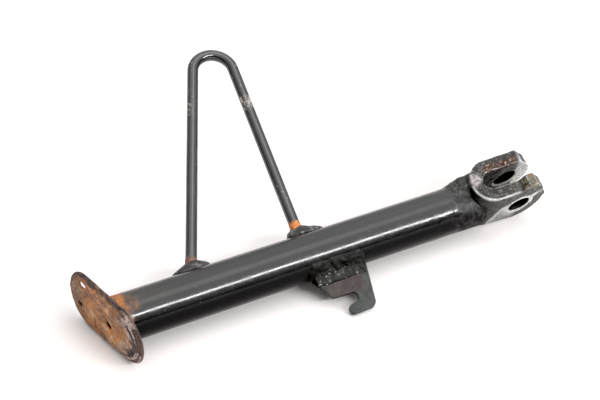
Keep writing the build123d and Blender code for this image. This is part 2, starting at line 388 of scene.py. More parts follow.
def tube_paint():
    """Gloss black with painted shade underneath (darker and with a dulled reflection), rusty above the
    foot and torn off short of the clevis.
    """
    f = Finish("tube_black")
    x, y, z = f.axis("X"), f.axis("Y"), f.axis("Z")
    from_foot = f.minus(x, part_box("leg_tube")[0][0] / MM)
    broad = f.noise(38, 3, 0.5)
    over_axis = f.plus(z, LEG_DROP)

    def facing(degrees_over):
        """1 where the tube faces this far round from +Z towards -Y, -1 on the opposite side."""
        turn = radians(degrees_over)
        return f.plus(f.times(over_axis, cos(turn) / TUBE_R), f.times(y, -sin(turn) / TUBE_R))

    # painted shade: the side facing down and towards the front is made darker and its reflection dulled
    shade = f.ease(facing(132), 0.22, 0.62)
    grime = f.ease(f.noise(14, 5, 0.62, stretch=(3, 1, 1)), 0.46, 0.70)
    black = f.mix(grime, (0.020, 0.020, 0.0205), (0.038, 0.038, 0.037))
    black = f.mix(f.ease(facing(18), 0.30, 0.95, (0.0, 0.8)), black, (0.040, 0.040, 0.040))
    dust = f.times(f.ease(f.noise(0.8, 2, 0.5, shift=5), 0.60, 0.72), f.ease(broad, 0.35, 0.6))
    black = f.mix(f.times(dust, 0.30), black, (0.12, 0.12, 0.115))
    speck = f.times(f.ease(f.cells(2.6, 7), 0.13, 0.07), f.ease(f.noise(11, 2, shift=9), 0.54, 0.60))
    black = f.mix(f.times(speck, 0.6), black, (0.30, 0.29, 0.27))
    # painted shade: darker colour on the lower front side
    black = f.mix(shade, black, (0.013, 0.013, 0.0135))
    torn = f.plus(x, f.times(f.minus(f.noise(5, 3, 0.6, shift=47), 0.5), 22.0))
    loose = f.ease(torn, TORN_PAINT_X - 5.0, TORN_PAINT_X + 4.0)
    crinkle = f.times(f.ease(torn, TORN_PAINT_X - 10.0, TORN_PAINT_X + 6.0),
                      f.ease(f.noise(3.2, 5, 0.7, 0.5, shift=51), 0.44, 0.62))
    black = f.mix(f.times(crinkle, 0.7), black, (0.075, 0.074, 0.071))
    ragged = f.times(f.minus(f.noise(10, 4, 0.6, 0.4, shift=11), 0.5), 44.0)
    reach = f.plus(from_foot, ragged)
    upper = f.ease(f.minus(z, f.times(y, 0.9)), -14.0, 6.0)
    back = f.ease(y, -13.0, -4.0)
    faces_up = f.times(upper, f.most(back, 0.35))
    faces_up = f.times(faces_up, f.ease(shade, 0.5, 0.0))
    rust = f.times(f.ease(reach, RUST_REACH, 9.0), faces_up)
    hot = f.times(f.ease(reach, 20.0, 6.0), 0.7)
    stain = f.times(f.ease(reach, STAIN_REACH, 18.0), faces_up)
    black = f.mix(f.times(stain, 0.5), black, (0.060, 0.055, 0.047))
    colour = f.mix(rust, black, f.mix(hot, rust_colour(f, 21), (0.60, 0.22, 0.055)))
    wavy = f.ease(x, -120.0, -55.0)
    rough = f.plus(f.ease(f.noise(5, 4, 0.6, shift=2), 0.3, 0.75, (0.13, 0.24)), f.times(rust, 0.5))
    rough = f.plus(rough, f.ease(torn, TORN_PAINT_X - 4.0, TORN_PAINT_X + 1.0, (0.0, 0.34)))
    rough = f.plus(rough, f.times(speck, 0.2), True)
    peel = f.plus(f.times(f.noise(2.2, 2, 0.5, stretch=(1.6, 1, 1)), 0.08), f.times(broad, 0.22))
    lumps = f.times(f.noise(4.5, 3, 0.6, 0.4, stretch=(1.5, 1, 1), shift=4),
                    f.plus(f.times(wavy, 0.4), f.times(loose, 1.2)))
    pits = f.times(f.noise(1.3, 4, 0.7, shift=6), f.times(rust, 1.3))
    height = f.plus(f.plus(peel, lumps), f.plus(pits, f.times(speck, -0.2)))
    # metallic dulling: painted shade on the lower front side, and real dullness where the torn paint is
    # loose
    painted_shade_dulling = f.most(f.times(shade, 0.78), f.times(loose, 0.5))
    painted_shade_dulling = f.times(painted_shade_dulling, f.ease(rust, 0.6, 0.1))
    return f.done(colour, rough, height, 0.20, painted_shade_dulling, 0.52)


def rod_paint():
    """Gloss black with chips, a scuffed patch, a ring of rust at each end, and painted shade that dulls
    the reflection on one side.
    """
    f = Finish("rod_black")
    black = f.mix(f.ease(f.noise(10, 5, 0.62, stretch=(1, 2, 1)), 0.45, 0.70),
                  (0.010, 0.010, 0.0105), (0.024, 0.024, 0.024))
    chip = f.times(f.ease(f.cells(3.2, 4), 0.17, 0.09), f.ease(f.noise(17, 2, shift=6), 0.55, 0.60))
    flaked = f.ease(f.noise(2.6, 4, 0.7, 0.5, stretch=(0.7, 1.3, 1), shift=8), 0.46, 0.55)
    scuff = f.times(f.layer("scuff"), flaked)
    pale = f.most(chip, scuff)
    primer = f.mix(f.ease(f.noise(3, 3, 0.6, shift=12), 0.42, 0.58),
                   (0.36, 0.36, 0.31), (0.62, 0.49, 0.43))
    black = f.mix(f.times(pale, 0.8), black, primer)
    rust = f.times(f.layer("rust"), f.ease(f.noise(1.6, 4, 0.65, shift=3), 0.34, 0.48))
    orange = f.mix(f.ease(f.noise(1.2, 3, 0.6, shift=31), 0.40, 0.62),
                   (0.44, 0.095, 0.010), (0.90, 0.29, 0.018))
    brown = f.mix(f.ease(f.noise(1.2, 3, 0.6, shift=33), 0.40, 0.62),
                  (0.11, 0.030, 0.015), (0.26, 0.085, 0.045))
    colour = f.mix(rust, black, f.mix(f.layer("bright"), brown, orange))
    rough = f.ease(f.noise(4, 4, 0.6, shift=2), 0.3, 0.75, (0.10, 0.19))
    rough = f.plus(rough, f.times(f.most(rust, pale), 0.5), True)
    # painted shade: the reflection is dulled on one side of the rod, except on rust and chips
    painted_shade_dulling = f.times(f.times(f.layer("painted_shade_dulling"), 0.38), f.ease(f.most(rust, pale), 0.5, 0.1))
    height = f.plus(f.times(f.noise(3, 3, 0.55), 0.35), f.times(f.noise(0.9, 3, 0.7, shift=9), rust))
    height = f.plus(height, f.times(pale, -0.3))
    return f.done(colour, rough, height, 0.15, painted_shade_dulling, specular=1.0, ior=1.58)


def clevis_metal():
    """Gritty dark plate with rust, old crust, bare steel and black paint laid over it by layer, and
    painted shade in the pivot bore.
    """
    f = Finish("clevis_worn")
    cloud = f.noise(4.5, 5, 0.70, 0.4)
    fine = f.noise(1.6, 4, 0.70, shift=3)
    grey = f.ramp(cloud, (0.34, (0.008, 0.008, 0.008)), (0.46, (0.030, 0.030, 0.029)),
                  (0.56, (0.082, 0.081, 0.078)), (0.66, (0.200, 0.196, 0.187)))
    grey = f.mix(f.ease(fine, 0.44, 0.58, (0.0, 0.88)), grey, (0.012, 0.012, 0.012))
    fleck = f.times(f.ease(f.cells(2.0, 5), 0.24, 0.12), f.ease(f.noise(5, 3, shift=7), 0.50, 0.60))
    grey = f.mix(f.times(fleck, 0.8), grey, (0.42, 0.41, 0.38))
    grit = f.ease(f.noise(2.0, 4, 0.72, shift=14), 0.40, 0.52)
    rust = f.times(f.layer("rust"), f.plus(f.times(grit, 0.45), 0.55))
    speckled = f.ramp(f.noise(2.3, 5, 0.75, 0.3, shift=17), (0.42, (0.010, 0.007, 0.006)),
                      (0.50, (0.070, 0.030, 0.018)), (0.57, (0.16, 0.090, 0.060)),
                      (0.63, (0.52, 0.46, 0.40)))
    grey = f.mix(rust, grey, speckled)
    lime = f.times(f.layer("lime"), f.ease(f.noise(2.8, 4, 0.6, shift=23), 0.36, 0.56, (0.15, 0.95)))
    crusted = f.ramp(f.noise(3.6, 4, 0.62, shift=27), (0.38, (0.045, 0.045, 0.038)),
                     (0.48, (0.24, 0.225, 0.155)), (0.56, (0.17, 0.14, 0.10)),
                     (0.66, (0.26, 0.115, 0.06)))
    grey = f.mix(lime, grey, crusted)
    blush = f.times(f.layer("blush"), f.ease(f.noise(2.2, 4, 0.62, shift=29), 0.40, 0.60, (0.35, 1.0)))
    grey = f.mix(f.times(blush, 0.85), grey, (0.50, 0.445, 0.445))
    patchy = f.ease(f.noise(1.2, 5, 0.72, 0.3, shift=19), 0.32, 0.52)
    bare = f.calc("MINIMUM", f.times(f.layer("bare"), f.plus(f.times(patchy, 0.85), 0.35)), 1.0)
    steel = f.mix(f.ease(f.noise(0.6, 3, 0.65, stretch=(3, 1, 1), shift=37), 0.36, 0.64),
                  (0.34, 0.338, 0.33), (0.82, 0.815, 0.80))
    colour = f.mix(bare, grey, steel)
    tarred = f.times(f.layer("tar"), f.ease(f.noise(3.0, 4, 0.65, shift=43), 0.30, 0.62, (1.0, 0.55)))
    old_paint = f.mix(f.ease(cloud, 0.42, 0.60), (0.014, 0.014, 0.014), (0.052, 0.051, 0.050))
    colour = f.mix(tarred, colour, old_paint)
    # painted shade: the pivot bore is made near black and dulled with metallic, as shade inside the hole
    recess_shade = f.layer("recess_shade")
    colour = f.mix(f.times(recess_shade, 0.92), colour, (0.010, 0.010, 0.010))
    rough = f.plus(f.ease(fine, 0.3, 0.7, (0.36, 0.58)), f.times(f.most(rust, lime), 0.25), True)
    height = f.plus(f.times(cloud, 0.55), f.times(fine, 0.45))
    height = f.plus(height, f.times(f.noise(0.45, 2, 0.6, shift=41), 0.14))
    metal = f.most(f.times(bare, 0.35), f.times(recess_shade, 0.9), f.times(tarred, 0.3))
    return f.done(colour, rough, height, 0.62, metal, 0.5)


def weld_metal(name, deep, pale, tint, scuff, gloss):
    """Lumpy weld: deep in the hollows, pale and tint in patches, bright on crests as worn metal with
    painted glints.
    """
    f = Finish(name)
    cloud = f.noise(7, 4, 0.58, 0.3)
    fine = f.noise(0.9, 4, 0.62, shift=3)
    colour = f.ramp(cloud, (0.34, deep), (0.54, tint), (0.72, pale))
    scuffed = f.ease(f.noise(3.2, 5, 0.7, 0.5, shift=51), 0.42, 0.64)
    colour = f.mix(f.layer("paint"), colour, f.mix(scuffed, deep, scuff))
    colour = f.mix(f.ease(fine, 0.42, 0.66, (0.0, 0.45)), colour, deep)
    # worn bright metal and painted glints: pale spots on the crests
    glints = f.ease(f.noise(2.2, 4, 0.7, shift=8), 0.58, 0.66)
    worn = f.times(glints, f.ease(f.layer("crest"), 0.45, 0.8))
    colour = f.mix(f.times(worn, 0.8), colour, (0.40, 0.395, 0.38))
    rust = f.times(f.layer("rust"), f.ease(f.noise(1.8, 4, 0.7, shift=12), 0.40, 0.56))
    colour = f.mix(rust, colour, RUST_BROWN)
    rough = f.plus(f.ease(fine, 0.3, 0.7, (0.34, 0.52)), f.times(rust, 0.3), True)
    lumpy = f.noise(3.0, 3, 0.55, 0.3, shift=71)
    height = f.plus(f.plus(f.times(cloud, 0.5), f.times(lumpy, 0.9)), f.times(fine, 0.25))
    return f.done(colour, rough, height, 0.55, f.times(worn, 0.3), gloss)


def foot_metal():
    """Mottled rust: orange and tan on the sole, dark on the rolled edge, pale where scraped; painted shade
    towards the sole's far end and in the punch mark.
    """
    f = Finish("foot_rust")
    patch = f.noise(12, 5, 0.68, 0.9, stretch=(1, 1.5, 0.8), shift=2)
    fine = f.noise(1.6, 4, 0.70, shift=5)
    sole = f.ramp(patch, (0.30, (0.13, 0.060, 0.042)), (0.41, (0.34, 0.155, 0.075)),
                  (0.50, (0.56, 0.30, 0.145)), (0.60, (0.68, 0.46, 0.29)), (0.72, (0.38, 0.27, 0.21)))
    sole = f.mix(f.ease(fine, 0.45, 0.62, (0.0, 0.55)), sole, (0.16, 0.078, 0.048))
    hot = f.ease(f.noise(8, 4, 0.7, 0.6, shift=15), 0.53, 0.63)
    sole = f.mix(f.times(hot, 0.75), sole, (0.68, 0.25, 0.060))
    # drab patches at random, and painted shade: darker towards the far end of the sole
    drab_and_far_shade = f.times(f.ease(f.noise(16, 4, 0.66, 0.6, shift=83), 0.42, 0.58), 0.55)
    drab_and_far_shade = f.most(drab_and_far_shade, f.times(f.ease(f.plus(f.axis("Y"), f.times(patch, 24.0)), 30.0, 44.0), 0.75))
    brown = f.mix(f.ease(fine, 0.40, 0.60), (0.23, 0.145, 0.110), (0.105, 0.058, 0.044))
    sole = f.mix(drab_and_far_shade, sole, brown)
    pale = f.ease(f.noise(5, 5, 0.72, 0.8, stretch=(1, 1.6, 0.7), shift=61), 0.58, 0.66)
    sole = f.mix(f.times(pale, 0.65), sole, (0.58, 0.47, 0.39))
    flank = f.ramp(f.noise(8, 5, 0.70, 0.6, stretch=(1, 1.4, 0.8), shift=19),
                   (0.30, (0.022, 0.018, 0.018)), (0.42, (0.062, 0.045, 0.042)),
                   (0.50, (0.120, 0.100, 0.098)), (0.58, (0.150, 0.085, 0.058)),
                   (0.68, (0.28, 0.20, 0.17)))
    flank_pits = f.ease(f.noise(1.5, 3, 0.6, shift=23), 0.45, 0.60, (0.0, 0.65))
    flank = f.mix(flank_pits, flank, (0.045, 0.028, 0.025))
    colour = f.mix(f.layer("flank"), sole, flank)
    colour = f.mix(f.times(f.layer("scrape"), f.ease(fine, 0.40, 0.52)), colour, (0.54, 0.42, 0.38))
    # painted shade inside the punch mark
    colour = f.mix(f.layer("recess_shade"), colour, (0.020, 0.011, 0.007))
    rough = f.ease(fine, 0.3, 0.7, (0.58, 0.85))
    pits = f.ease(f.cells(2.4, 9), 0.10, 0.42)
    height = f.plus(f.times(patch, 0.5), f.plus(f.times(fine, 0.6), f.times(pits, 0.30)))
    return f.done(colour, rough, height, 0.60, specular=0.3)


def hook_metal():
    """Matt dark plate: reddish body, grey-green arm, olive end."""
    f = Finish("hook_plate")
    cloud = f.noise(6, 5, 0.6, 0.3)
    fine = f.noise(0.7, 4, 0.65, shift=3)
    body = f.mix(f.ease(cloud, 0.38, 0.62), (0.050, 0.040, 0.038), (0.078, 0.064, 0.061))
    arm = f.mix(f.ease(cloud, 0.38, 0.62), (0.046, 0.050, 0.049), (0.068, 0.073, 0.071))
    olive = f.mix(f.ease(cloud, 0.38, 0.62), (0.050, 0.048, 0.040), (0.074, 0.069, 0.058))
    colour = f.mix(f.layer("arm"), body, arm)
    colour = f.mix(f.layer("olive"), colour, olive)
    colour = f.mix(f.ease(fine, 0.40, 0.66, (0.0, 0.35)), colour, (0.028, 0.025, 0.024))
    fleck = f.times(f.ease(f.cells(1.8, 5), 0.15, 0.06), f.ease(f.noise(6, 3, shift=7), 0.52, 0.60))
    colour = f.mix(f.times(fleck, 0.5), colour, (0.26, 0.24, 0.23))
    colour = f.mix(f.layer("cut"), colour, (0.014, 0.014, 0.014))
    rough = f.ease(fine, 0.3, 0.7, (0.48, 0.66))
    height = f.plus(f.times(cloud, 0.4), f.times(fine, 0.35))
    return f.done(colour, rough, height, 0.16, specular=0.4)


# ---------------------------------------------------------------- the tube
def build_tube():
    """The tube with its bore, its ends cut to the foot pan and the clevis bend."""
    around = np.linspace(0.0, 2.0 * pi, TUBE_AROUND, endpoint=False)
    steps = np.linspace(0.0, 1.0, TUBE_ALONG)
    floor = FOOT_CENTRE - SOLE_NORMAL * FOOT_SHEET
    rings = []
    for radius, order in ((TUBE_R, steps), (TUBE_BORE_R, steps[::-BORE_SKIP])):
        y = radius * np.cos(around)
        z = radius * np.sin(around)
        start = floor[0] - (y - floor[1]) * tan(TOE_IN)
        across = y * PIVOT_AXIS[1] + (z - LEG_DROP) * PIVOT_AXIS[2]
        bend = np.sqrt(np.clip(FORK_HALF ** 2 - across ** 2, 0.0, None))
        end = np.minimum(BEND_X - bend, COLLAR_END) + COLLAR_OVERLAP
        for t in order:
            x = start + (end - start) * t
            rings.append(np.stack([x, y, z - LEG_DROP], axis=1))
    skin = grid_skin("painted_tube", np.array(rings), True)
    inside = np.hypot(skin.co[:, 1], skin.co[:, 2] + LEG_DROP) < TUBE_R - 0.5
    wave = noise(skin.co * np.array([0.35, 1, 1]), 9.0, 3, 2) * 0.035
    near_fork = ease(skin.co[:, 0], -95.0, -50.0)
    wave += noise(skin.co * np.array([0.6, 1, 1]), 6.0, 8, 3) * 0.10 * near_fork
    skin.push(np.where(inside, 0.0, wave - 0.03))
    return finish_piece(skin, "painted_tube", ["leg_tube"], tube_paint())


# ---------------------------------------------------------------- the step loop
def turned(vector, angle):
    """A vector in the loop's plane, turned by an angle."""
    return np.array([vector[0] * cos(angle) - vector[1] * sin(angle),
                     vector[0] * sin(angle) + vector[1] * cos(angle)])


def loop_route():
    """Centre line of the rod in loop-plane coordinates, with its unit direction at each point."""
    rear, front = tan(REAR_LEAN), tan(FRONT_LEAN)
    height = (FRONT_X - REAR_X) / (rear + front)
    apex = np.array([REAR_X + height * rear, height])
    up_rear = np.array([sin(REAR_LEAN), cos(REAR_LEAN)])
    down_front = np.array([FRONT_X - apex[0], -apex[1]])
    down_front = down_front / np.linalg.norm(down_front)
    turn = atan2(up_rear[0] * down_front[1] - up_rear[1] * down_front[0], up_rear @ down_front)
    setback = LOOP_BEND_R * tan(abs(turn) / 2)
    arc_start = apex - up_rear * setback
    arc_end = apex + down_front * setback
    centre = arc_start + LOOP_BEND_R * np.array([up_rear[1], -up_rear[0]])
    points, ways = [], []
    foot_height = TUBE_R - LOOP_ROOT
    rear_foot = np.array([REAR_X, 0.0]) + up_rear * foot_height / up_rear[1]
    front_foot = np.array([FRONT_X, 0.0]) + down_front * foot_height / down_front[1]
    for t in np.linspace(0.0, 1.0, ROD_LEG, endpoint=False):
        points.append(rear_foot + (arc_start - rear_foot) * t)
        ways.append(up_rear)
    for t in np.linspace(0.0, 1.0, ROD_BEND, endpoint=False):
        points.append(centre + turned(arc_start - centre, turn * t))
        ways.append(turned(up_rear, turn * t))
    for t in np.linspace(0.0, 1.0, ROD_LEG):
        points.append(arc_end + (front_foot - arc_end) * t)
        ways.append(down_front)
    return np.array(points), np.array(ways)


def build_loop():
    """The round rod along its route, swollen with rust where it enters its welds."""
    points, ways = loop_route()
    around = np.linspace(0.0, 2.0 * pi, ROD_AROUND, endpoint=False)
    run = np.concatenate([[0.0], np.cumsum(np.linalg.norm(np.diff(points, axis=0), axis=1))])
    left = run[-1] - run
    rings = []
    for (px, pw), (dx, dw), a, b in zip(points, ways, run, left):
        centre = LEG_ORIGIN + X_AXIS * px + PIVOT_AXIS * pw
        side = X_AXIS * dw - PIVOT_AXIS * dx
        swell = 0.15 * ease(a, 12.0, 8.0) + 0.35 * ease(b, 12.5, 8.0)
        radius = ROD_R + ROD_PAINT + swell
        spokes = np.cos(around)[:, None] * side + np.sin(around)[:, None] * FORK_UP
        rings.append(centre + radius * spokes)
    skin = grid_skin("step_rod", np.array(rings), False)
    run_v = np.repeat(run, len(around))
    left_v = np.repeat(left, len(around))
    face = np.tile(around, len(points))
    skin.push(noise(skin.co, 7.0, 5, 3) * 0.035)
    low = ease(run_v, 13.3 + 1.5 * noise(skin.co, 3.0, 2), 9.8)
    high = ease(left_v, 13.0 + 0.7 * noise(skin.co, 3.0, 2), 12.0)
    rough_base = np.maximum(low, high)
    skin.push(rough_base * noise(skin.co, 1.6, 9, 2) * 0.16)
    skin.store("rust", rough_base)
    skin.store("bright", (left_v < run_v).astype(float))
    upper = ease(np.sin(face), -0.2, 0.4)
    outer = ease(np.cos(face), 0.1, -0.6)
    # painted shade on the side of the rod facing +X, kept for the material
    skin.store("painted_shade_dulling", ease(skin.normals() @ ROD_SHADED_SIDE, 0.20, 0.70))
    reach = run[-1]
    rub = ease(abs(run_v - reach * 0.375), 17.0, 9.0) * outer
    patch = ease(abs(left_v - reach * 0.322), 6.8, 4.2) * upper
    skin.store("scuff", np.maximum(rub * 0.7 * ease(noise(skin.co, 6.0, 13, 2), 0.1, 0.5), patch))
    return finish_piece(skin, "step_rod", ["step_loop"], rod_paint())


# ---------------------------------------------------------------- clevis
def fork_place(co):
    """Coordinates along the leg, up the clevis, and along the pivot axis."""
    return co[:, 0], co @ FORK_UP, co @ PIVOT_AXIS


def build_clevis():
    """The two ears and their bend, pitted and dented away from the bore, with the wear and the painted
    shade in the bore as layers.
    """
    skin = remeshed("clevis")
    skin.soften(3)
    ridge = skin.crest(3)
    x, v, w = fork_place(skin.co)
    r = np.hypot(x, v)
    dents = noise(skin.co, 11.0, 4, 3) * 0.30
    pits = -0.32 * ease(noise(skin.co, 2.6, 6, 2), 0.35, 0.95)
    bore = ease(r, BORE_R + 2.0, BORE_R + 0.4)
    chips = ease(ridge, 0.03, 0.10) * (0.18 + 0.26 * noise(skin.co, 4.0, 8))
    skin.push((dents + pits - 0.10) * (1.0 - bore) - chips)
    skin.soften(1)
    x, v, w = fork_place(skin.co)
    r = np.hypot(x, v)
    ridge = skin.crest(2)
    blot = noise(skin.co, 3.5, 21, 3)
    near_face = ease(w, -FORK_HALF + 2.6, -FORK_HALF + 1.4)
    from_bend = np.where(x < BEND_X, np.hypot(x - BEND_X, w), abs(w))
    near_wall = ease(from_bend, FORK_HALF - 2.6, FORK_HALF - 1.4) * ease(w, 2.0, -3.0)
    far_inner = ease(abs(w - SLOT_HALF), 2.0, 1.0)
    ring = 1.15 * ease(r, 12.2 + 0.9 * blot, 10.8) * near_face * ease(r, BORE_R - 1.0, BORE_R)
    paint_line = PAINT_LINE_X + PAINT_LINE_LEAN * v
    streak = ease(x - paint_line, -0.5 + 1.5 * blot, 2.5) * ease(v, 7.0 + 2.0 * blot, 2.0)
    beside = ease(x - paint_line, 8.0 + 2.0 * blot, 3.5)
    streak = streak * ease(x, 4.0, -5.0) * (0.26 + 0.40 * beside + 0.26 * ease(r, 18.0, 12.0))
    scratches = ease(abs(v - 0.75 * x - 1.0), 4.5 + 1.5 * blot, 2.5)
    scratches = scratches * ease(x, 6.0, 9.0) * ease(x, 18.5, 15.0)
    far_end = ease(x + 0.15 * v, 6.5 + 1.5 * blot, 9.5) * far_inner
    far_tip = ease(v, FORK_TOP - 3.0, FORK_TOP - 1.0) * ease(w, SLOT_HALF - 1.0, SLOT_HALF + 0.5)
    far_tip = far_tip * ease(x - 0.6 * (w - SLOT_HALF), 2.5 + 1.5 * blot, 5.5)
    rim = ease(ridge, 0.012, 0.035) * ease(blot, -0.9, 0.1)
    to_edge = np.hypot(FORK_HALF - from_bend, FORK_TOP - v)
    edge_line = ease(to_edge, 1.9 + 0.6 * blot, 0.8) * ease(w, 4.0, -4.0) * ease(x, -2.0, -9.0)
    chamfer = ease(r, BORE_R + 2.4, BORE_R + 1.4) * far_inner * ease(v, 2.0, -3.0)
    bare = np.maximum.reduce([ring, streak * near_face, scratches * near_face, far_end, 0.7 * far_tip,
                              0.75 * rim, 0.66 * edge_line, chamfer])
    skin.store("bare", bare)
    top = ease(v, FORK_TOP - 1.6, FORK_TOP - 0.8)
    band = top * ease(w, SLOT_HALF + 7.2 + 1.8 * blot, SLOT_HALF + 3.0)
    band = band * ease(w, SLOT_HALF - 1.5, SLOT_HALF) * ease(x, -28.0, -23.0) * ease(x, 4.5, 0.5)
    skin.store("rust", np.clip(band + 0.2 * ease(blot, 0.4, 1.0), 0.0, 1.0))
    lug = ease(v, FORK_TOP - 1.0, FORK_TOP + 2.0) * ease(w, 0.0, -SLOT_HALF)
    skin.store("lime", lug * ease(x + 2.0 * blot, -17.0, -4.0))
    skin.store("blush", top * ease(np.hypot(x + 34.0, w - 4.0), 6.5 + 1.5 * blot, 2.5))
    tar = near_wall * ease(x - paint_line, 1.5 + 1.5 * blot, -1.5)
    tar = tar * ease(v, FORK_TOP - 0.8, FORK_TOP - 3.0)
    tar = np.maximum(tar, 0.8 * near_face * ease(x, 11.5 + 1.5 * blot, 14.5) * ease(v, -8.0, 0.0))
    slot_wall = ease(from_bend, SLOT_HALF + 2.2, SLOT_HALF + 0.8) * ease(v, FORK_TOP - 1.0, FORK_TOP - 3.0)
    tar = np.maximum(tar, 0.8 * slot_wall * ease(x, -4.0, -12.0))
    skin.store("tar", tar)
    # painted shade inside the pivot bore: all round in the far ear, in a striped band in the near ear
    inside = ease(r, BORE_R + 0.9, BORE_R + 0.2)
    lip = ease(abs(abs(w) - (SLOT_HALF + 5.0)), 5.2, 4.6)
    stripe = ease(np.sin(w * 2.6 + 0.6 * blot), 0.2, 0.9) * ease(w, 0.0, -2.0)
    skin.store("recess_shade", inside * np.where(w > 0, 1.0, lip) * (1.0 - 0.55 * stripe))
    return finish_piece(skin, "fork", ["clevis"], clevis_metal())


# ---------------------------------------------------------------- welds
def from_tube(co):
    """Height over the tube's surface, and the way straight out from the tube's axis."""
    out = co - LEG_ORIGIN
    out[:, 0] = 0.0
    radius = np.linalg.norm(out, axis=1)
    return radius - TUBE_R, out / radius[:, None]


def build_pad(node, name, material, seed, rust):
    """The pad of weld under a leg of the loop: a low cone, wide and lumpy at its base."""
    skin = remeshed(node)
    skin.push(np.full(len(skin.co), 0.7))
    skin.soften(10)
    heaped, out = from_tube(skin.co)
    skin.co = skin.co - 0.2 * np.clip(heaped, 0.0, None)[:, None] * out
    skin.push(0.8 * ease(heaped, -1.5, 0.5) * ease(heaped, 8.5, 4.0))
    skin.soften(3)
    rough = noise(skin.co, 6.0, seed, 2) + 0.35 * noise(skin.co, 2.0, seed + 2, 2)
    skin.push(rough * 0.40)
    skin.soften(3)
    # crest: where the weld shows worn bright metal and painted glints
    skin.store("crest", np.clip(0.6 + 0.5 * noise(skin.co, 3.0, seed + 5, 2), 0.0, 1.0))
    skin.store("rust", np.full(len(skin.co), rust))
    skin.store("paint", np.zeros(len(skin.co)))
    return finish_piece(skin, name, [node], material)


def build_bead(node, name, side, start, material, seed):
    """One of the two runs of weld along the hook plate, feathered up or down the tube."""
    turn = np.radians(np.linspace(0.0, BEAD_TURN[-1], BEAD_AROUND))
    profile = np.interp(np.degrees(turn), BEAD_TURN, BEAD_HEIGHT)
    sink = 0.8
    rings = []
    for x in np.linspace(start, BEAD_END, BEAD_ALONG):
        flat = np.full(len(turn), x)
        way = np.cos(turn)[:, None] * HOOK_OUT + side * np.sin(turn)[:, None] * HOOK_NORMAL
        place = LEG_ORIGIN + X_AXIS * flat[:, None] + way * (TUBE_R + profile)[:, None]
        lumps = 0.75 * noise(place, 7.0, seed, 2) + 0.16 * noise(place, 2.4, seed + 4, 2)
        body = ease(flat, start, start + 5.0) * ease(flat, BEAD_END, BEAD_END - 5.0)
        height = (profile + sink + lumps * ease(profile, -0.6, 1.5)) * body - sink
        outer = LEG_ORIGIN + X_AXIS * flat[:, None] + way * (TUBE_R + height)[:, None]
        base = LEG_ORIGIN + X_AXIS * flat[:, None] + way * (TUBE_R - BEAD_ROOT)
        rings.append(np.concatenate([outer, base[::-1]]))
    skin = grid_skin(name, np.array(rings), False)
    skin.soften(2)
    heaped, _ = from_tube(skin.co)
    peaks = noise(skin.co, 3.5, seed + 5, 2)
    # crest: where the weld shows worn bright metal and painted glints
    skin.store("crest", ease(heaped, 1.0, 3.0) * np.clip(0.55 + 0.5 * peaks, 0.0, 1.0))
    skin.store("rust", np.zeros(len(skin.co)))
    skin.store("paint", ease(heaped, 2.8, 1.0))
    return finish_piece(skin, name, [node], material)


def build_fork_weld(material):
    """The heap of weld behind the clevis: feathered into the tube, sunk into the clevis bend."""
    turn = np.radians(np.linspace(-70.0, 150.0, HEAP_AROUND))
    full = ease(turn, radians(-45), radians(22)) * ease(turn, radians(118), radians(78))
    sink, root = 0.7, TUBE_R - HEAP_ROOT
    rings = []
    for t in np.linspace(0.0, 1.0, HEAP_STATIONS):
        outer = np.full(len(turn), TUBE_R)
        for _ in range(2):
            y, z = outer * np.sin(turn), outer * np.cos(turn) - LEG_DROP
            across = y * PIVOT_AXIS[1] + z * PIVOT_AXIS[2]
            end = BEND_X + 3.0 - np.sqrt(np.clip(FORK_HALF ** 2 - across ** 2, 30.0, None))
            x = HEAP_START + (end - HEAP_START) * t
            place = np.stack([x, y, z], axis=1)
            heap = np.interp(x, HEAP_ALONG, HEAP_HEIGHT)
            lumps = 0.85 * noise(place, 4.2, 66, 3) * ease(x, HEAP_START, HEAP_START + 10.0)
            heap = heap * (1.0 + 0.14 * noise(place, 9.0, 61, 3)) + lumps
            toe = ease(x, HEAP_START, HEAP_START + 5.0)
            body = full * ease(x, HEAP_START - 1.0, HEAP_START + 4.0)
            outer = TUBE_R - sink + (sink + heap * toe) * body
        y, z = outer * np.sin(turn), outer * np.cos(turn) - LEG_DROP
        top = np.stack([x, y, z], axis=1)
        beyond = np.clip(top @ PIVOT_AXIS - 14.5, 0.0, None)
        top = top - PIVOT_AXIS * (0.55 * beyond)[:, None]
        base = np.stack([x, root * np.sin(turn), root * np.cos(turn) - LEG_DROP], axis=1)
        rings.append(np.concatenate([top, base[::-1]]))
    skin = grid_skin("fork_weld", np.array(rings), False)
    skin.soften(1)
    by_clevis = ease(skin.co[:, 0], HEAP_START + 4.0, HEAP_START + 14.0)
    # crest: where the weld shows worn bright metal and painted glints
    skin.store("crest", by_clevis * np.clip(0.5 + 0.5 * noise(skin.co, 3.5, 68, 2), 0.0, 1.0))
    skin.store("rust", np.zeros(len(skin.co)))
    skin.store("paint", 1.0 - 0.5 * by_clevis)
    return finish_piece(skin, "fork_weld", ["clevis_weld"], material)


